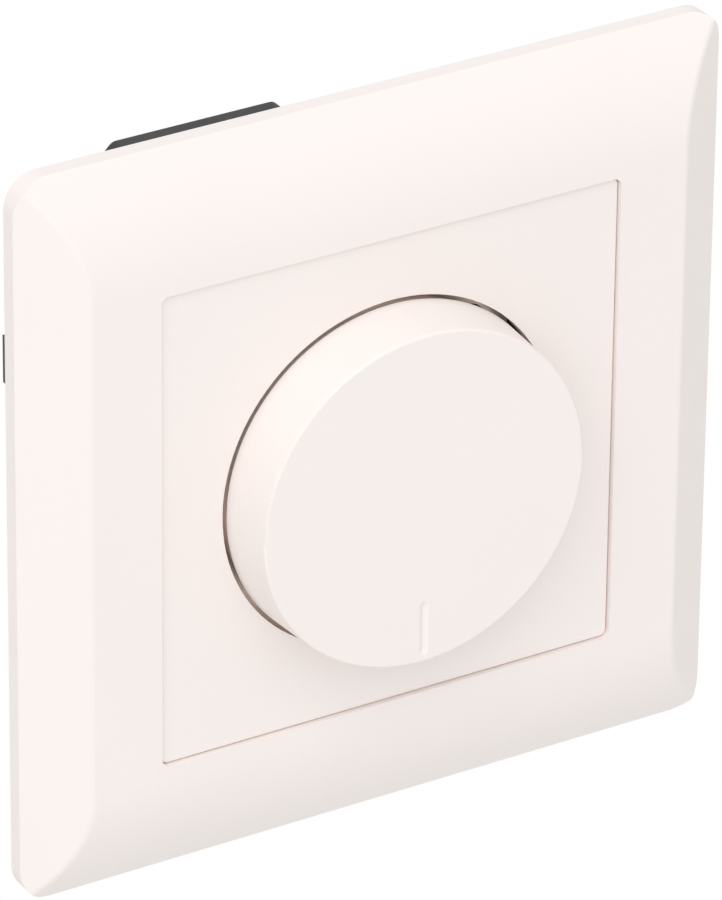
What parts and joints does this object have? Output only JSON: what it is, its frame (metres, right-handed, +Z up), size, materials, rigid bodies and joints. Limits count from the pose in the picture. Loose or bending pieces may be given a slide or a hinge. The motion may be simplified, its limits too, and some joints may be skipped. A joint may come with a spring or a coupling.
{
  "type": "rotary wall dimmer switch",
  "caption": "Flush-mounted rotary wall dimmer: square warm-white cover frame and centre plate, large round push-and-turn knob with a pointer groove, black octagonal insert behind.",
  "frame": {"origin": "on the knob's axis in the plane of the wall, behind the middle of the cover frame", "axes": "+Z up, +Y into the wall along the knob's axis, +X to the right as seen from the room"},
  "size_m": [0.0844, 0.0485, 0.0844],
  "materials": {
    "warm_white_plastic": "satin moulded thermoplastic",
    "black_plastic": "moulded, fine matt",
    "zinc_steel": "zinc plated",
    "spring_steel": "bright drawn",
    "nickel_brass": "nickel plated, turned",
    "natural_plastic": "natural moulded",
    "brass": "stamped",
    "carbon_track": "printed carbon",
    "tinned_copper": "tin plated",
    "board_laminate": "solder resist on glass laminate",
    "blue_plastic": "moulded",
    "yellow_plastic": "moulded box",
    "capacitor_can": "sleeved can",
    "ferrite": "sintered powder core",
    "enamelled_copper": "enamelled wire",
    "aluminium_plate": "rolled sheet",
    "silicone_pad": "silicone sheet",
    "black_epoxy": "moulded epoxy",
    "clear_glass": "drawn glass tube"
  },
  "bodies": {
    "insert": {"cover_frame": "warm_white_plastic", "centre_plate": "warm_white_plastic", "threaded_bush": "nickel_brass", "ring_nut": "black_plastic", "support_ring": "zinc_steel", "ring_screws": "zinc_steel", "claw_pins": "zinc_steel", "housing_shell": "black_plastic", "rear_cover": "black_plastic", "potentiometer_body": "black_plastic", "resistive_track": "carbon_track", "switch_body": "black_plastic", "return_spring": "spring_steel", "switch_pins": "tinned_copper", "circuit_board": "board_laminate", "board_screws": "zinc_steel", "trimmer_body": "blue_plastic", "film_capacitor": "yellow_plastic", "electrolytic_capacitor": "capacitor_can", "choke_core": "ferrite", "choke_winding": "enamelled_copper", "heatsink_plate": "aluminium_plate", "insulating_pad": "silicone_pad", "triac": "black_epoxy", "triac_screw": "zinc_steel", "fuse_tube": "clear_glass", "fuse_caps": "nickel_brass", "fuse_clips": "tinned_copper", "terminal_block": "black_plastic", "bus_bars": "tinned_copper"},
    "knob": {"knob": "warm_white_plastic", "knob_clip": "spring_steel", "shaft": "nickel_brass", "shaft_circlip": "spring_steel"},
    "plunger": {"switch_plunger": "natural_plastic"},
    "rotor": {"rotor": "natural_plastic", "wiper": "brass"},
    "claw_left": {"claw_left": "zinc_steel"},
    "claw_right": {"claw_right": "zinc_steel"},
    "claw_screw_left": {"claw_screw_left": "zinc_steel"},
    "claw_screw_right": {"claw_screw_right": "zinc_steel"},
    "trimmer_rotor": {"trimmer_rotor": "natural_plastic"},
    "terminal_cage_1": {"terminal_cage_1": "zinc_steel"},
    "terminal_screw_1": {"terminal_screw_1": "zinc_steel"},
    "terminal_cage_2": {"terminal_cage_2": "zinc_steel"},
    "terminal_screw_2": {"terminal_screw_2": "zinc_steel"},
    "terminal_cage_3": {"terminal_cage_3": "zinc_steel"},
    "terminal_screw_3": {"terminal_screw_3": "zinc_steel"}
  },
  "joints": [
    {"name": "knob_push", "type": "slide", "parent": "insert", "child": "plunger", "axis": [0, 1, 0], "range_m": [0, 0.0012], "stiffness_N_per_m": 1500, "springref_m": -0.0015, "deforming": ["return_spring"]},
    {"name": "knob_turn", "type": "hinge", "parent": "plunger", "child": "knob", "pos_m": [0, 0, 0], "axis": [0, 1, 0], "range_deg": [0, 300]},
    {"name": "rotor_turn", "type": "hinge", "parent": "insert", "child": "rotor", "pos_m": [0, 0, 0], "axis": [0, 1, 0], "range_deg": [0, 300]},
    {"name": "trimmer_turn", "type": "hinge", "parent": "insert", "child": "trimmer_rotor", "pos_m": [0.01234, 0, 0.01234], "axis": [0, 1, 0], "range_deg": [0, 270]},
    {"name": "claw_screw_left_turn", "type": "hinge", "parent": "insert", "child": "claw_screw_left", "pos_m": [-0.0229, 0, 0], "axis": [0, 1, 0], "range_deg": [0, 864]},
    {"name": "claw_left_swing", "type": "hinge", "parent": "insert", "child": "claw_left", "pos_m": [-0.0189, 0.006, 0], "axis": [0, 0, 1], "range_deg": [0, 17.46]},
    {"name": "claw_screw_right_turn", "type": "hinge", "parent": "insert", "child": "claw_screw_right", "pos_m": [0.0229, 0, 0], "axis": [0, 1, 0], "range_deg": [0, 864]},
    {"name": "claw_right_swing", "type": "hinge", "parent": "insert", "child": "claw_right", "pos_m": [0.0189, 0.006, 0], "axis": [0, 0, -1], "range_deg": [0, 17.46]},
    {"name": "terminal_screw_1_turn", "type": "hinge", "parent": "insert", "child": "terminal_screw_1", "pos_m": [-0.0064, 0, -0.01675], "axis": [0, -1, 0], "range_deg": [0, 2160]},
    {"name": "terminal_cage_1_slide", "type": "slide", "parent": "insert", "child": "terminal_cage_1", "axis": [0, 1, 0], "range_m": [0, 0.0036]},
    {"name": "terminal_screw_2_turn", "type": "hinge", "parent": "insert", "child": "terminal_screw_2", "pos_m": [0, 0, -0.01675], "axis": [0, -1, 0], "range_deg": [0, 2160]},
    {"name": "terminal_cage_2_slide", "type": "slide", "parent": "insert", "child": "terminal_cage_2", "axis": [0, 1, 0], "range_m": [0, 0.0036]},
    {"name": "terminal_screw_3_turn", "type": "hinge", "parent": "insert", "child": "terminal_screw_3", "pos_m": [0.0064, 0, -0.01675], "axis": [0, -1, 0], "range_deg": [0, 2160]},
    {"name": "terminal_cage_3_slide", "type": "slide", "parent": "insert", "child": "terminal_cage_3", "axis": [0, 1, 0], "range_m": [0, 0.0036]}
  ],
  "couplings": [
    {"joint": "rotor_turn", "follows": "knob_turn", "ratio": 1},
    {"joint": "claw_left_swing", "follows": "claw_screw_left_turn", "ratio": 0.020206},
    {"joint": "claw_right_swing", "follows": "claw_screw_right_turn", "ratio": 0.020206},
    {"joint": "terminal_screw_1_turn", "follows": "terminal_cage_1_slide", "rad_per_m": 10472},
    {"joint": "terminal_screw_2_turn", "follows": "terminal_cage_2_slide", "rad_per_m": 10472},
    {"joint": "terminal_screw_3_turn", "follows": "terminal_cage_3_slide", "rad_per_m": 10472}
  ]
}
